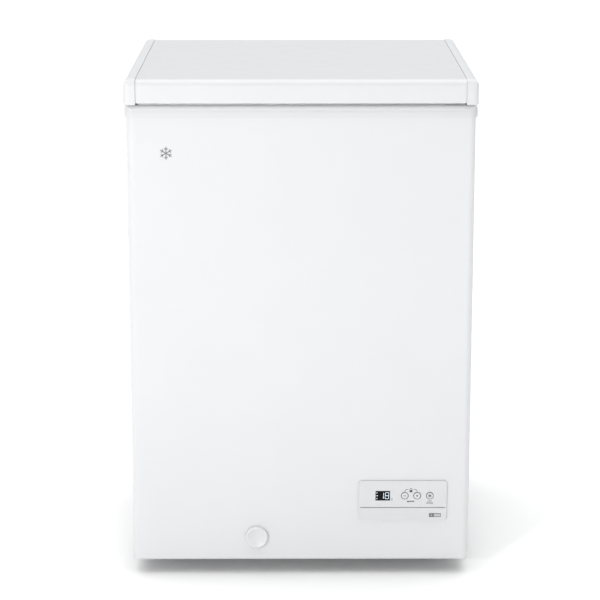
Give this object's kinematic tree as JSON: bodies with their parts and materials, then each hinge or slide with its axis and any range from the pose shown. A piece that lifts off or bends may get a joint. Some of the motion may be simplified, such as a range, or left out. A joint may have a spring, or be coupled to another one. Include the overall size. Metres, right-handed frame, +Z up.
{
  "type": "chest freezer",
  "caption": "Compact chest freezer: insulated steel cabinet, lift-up hinged lid, wire basket, control panel with push buttons, drain and rear compressor room.",
  "frame": {"origin": "on the floor under the middle of the closed freezer's overall box", "axes": "+X to the freezer's right as seen from the front, -Y out of the front, +Z up"},
  "size_m": [0.574, 0.57, 0.845],
  "materials": {
    "white_enamel": "satin",
    "zinc_sheet": "satin",
    "tank_enamel": "satin",
    "insulation_foam": "matte",
    "white_moulding": "satin",
    "lid_liner_plastic": "satin",
    "gasket_vinyl": "matte",
    "foot_plastic": "matte",
    "vent_plastic": "matte",
    "mount_rubber": "matte",
    "compressor_paint": "satin",
    "copper": "satin",
    "coil_aluminium": "satin",
    "hinge_steel": "satin",
    "fastener_steel": "satin",
    "spring_steel": "satin",
    "plunger_nylon": "satin",
    "panel_silver": "satin",
    "button_silver": "satin",
    "smoked_window": "gloss",
    "label_film": "satin",
    "circuit_board": "satin",
    "white_plastic": "satin",
    "wire_insulation": "matte",
    "drain_cap_plastic": "satin",
    "drain_plug_rubber": "matte",
    "basket_coating": "satin",
    "badge_grey": "satin"
  },
  "bodies": {
    "cabinet": {"front_panel": "white_enamel", "side_panel_left": "white_enamel", "side_panel_right": "white_enamel", "back_panel": "white_enamel", "base_panel": "zinc_sheet", "inner_liner": "tank_enamel", "cabinet_foam": "insulation_foam", "collar_frame": "white_moulding", "feet": "foot_plastic", "rear_spacers": "foot_plastic", "front_badge": "badge_grey", "side_vent_grille": "vent_plastic", "machine_room_liner": "zinc_sheet", "rear_cover": "zinc_sheet", "rear_screws": "fastener_steel", "cord_gland": "foot_plastic", "compressor": "compressor_paint", "compressor_mount_plate": "zinc_sheet", "compressor_grommets": "mount_rubber", "compressor_bolts": "fastener_steel", "relay_cover": "foot_plastic", "filter_drier": "copper", "suction_pipe": "copper", "discharge_pipe": "copper", "capillary_tube": "copper", "condenser_coil": "copper", "evaporator_coil": "coil_aluminium", "temperature_sensor": "white_plastic", "control_housing": "panel_silver", "display_window": "smoked_window", "panel_sticker": "label_film", "control_pcb": "circuit_board", "power_box": "white_plastic", "wiring_harness": "wire_insulation", "drain_tube": "white_plastic", "hinge_bracket_left": "hinge_steel", "hinge_bracket_right": "hinge_steel", "hinge_pins": "fastener_steel", "hinge_spring_left": "spring_steel", "hinge_spring_right": "spring_steel"},
    "lid": {"lid_panel": "white_enamel", "lid_end_cap_left": "white_moulding", "lid_end_cap_right": "white_moulding", "lid_foam": "insulation_foam", "lid_liner": "lid_liner_plastic", "lid_gasket": "gasket_vinyl", "hinge_leaf_left": "hinge_steel", "hinge_leaf_right": "hinge_steel", "hinge_leaf_screws": "fastener_steel"},
    "basket": {"basket_floor": "basket_coating", "basket_side_walls": "basket_coating", "basket_end_walls": "basket_coating", "basket_hooks": "basket_coating"},
    "minus_key": {"minus_button": "button_silver"},
    "plus_key": {"plus_button": "button_silver"},
    "fast_freeze_key": {"fast_freeze_button": "button_silver"},
    "drain_cap_body": {"drain_cap": "drain_cap_plastic"},
    "drain_plug_body": {"drain_plug": "drain_plug_rubber"},
    "left_plunger": {"hinge_plunger_left": "plunger_nylon"},
    "right_plunger": {"hinge_plunger_right": "plunger_nylon"}
  },
  "joints": [
    {"name": "lid_hinge", "type": "hinge", "parent": "cabinet", "child": "lid", "pos_m": [0, 0.272, 0.796], "axis": [-1, 0, 0], "range_deg": [0, 80], "stiffness_Nm_per_rad": 5.5, "springref_deg": 83.08},
    {"name": "left_plunger_slide", "type": "slide", "parent": "cabinet", "child": "left_plunger", "axis": [0, 0, 1], "range_m": [0, 0.0034], "deforming": ["hinge_spring_left"]},
    {"name": "right_plunger_slide", "type": "slide", "parent": "cabinet", "child": "right_plunger", "axis": [0, 0, 1], "range_m": [0, 0.0034], "deforming": ["hinge_spring_right"]},
    {"name": "minus_press", "type": "slide", "parent": "cabinet", "child": "minus_key", "axis": [0, 1, 0], "range_m": [0, 0.0008], "stiffness_N_per_m": 800, "springref_m": -0.0006},
    {"name": "plus_press", "type": "slide", "parent": "cabinet", "child": "plus_key", "axis": [0, 1, 0], "range_m": [0, 0.0008], "stiffness_N_per_m": 800, "springref_m": -0.0006},
    {"name": "fast_freeze_press", "type": "slide", "parent": "cabinet", "child": "fast_freeze_key", "axis": [0, 1, 0], "range_m": [0, 0.0008], "stiffness_N_per_m": 800, "springref_m": -0.0006},
    {"name": "drain_cap_pull", "type": "slide", "parent": "cabinet", "child": "drain_cap_body", "axis": [0, -1, 0], "range_m": [0, 0.03]},
    {"name": "drain_plug_lift", "type": "slide", "parent": "cabinet", "child": "drain_plug_body", "axis": [0, 0, 1], "range_m": [0, 0.05]},
    {"name": "basket_slide", "type": "slide", "parent": "cabinet", "child": "basket", "axis": [-1, 0, 0], "range_m": [0, 0.226]}
  ],
  "couplings": [
    {"joint": "left_plunger_slide", "follows": "lid_hinge", "m_per_rad": 0.0023635},
    {"joint": "right_plunger_slide", "follows": "lid_hinge", "m_per_rad": 0.0023635}
  ]
}
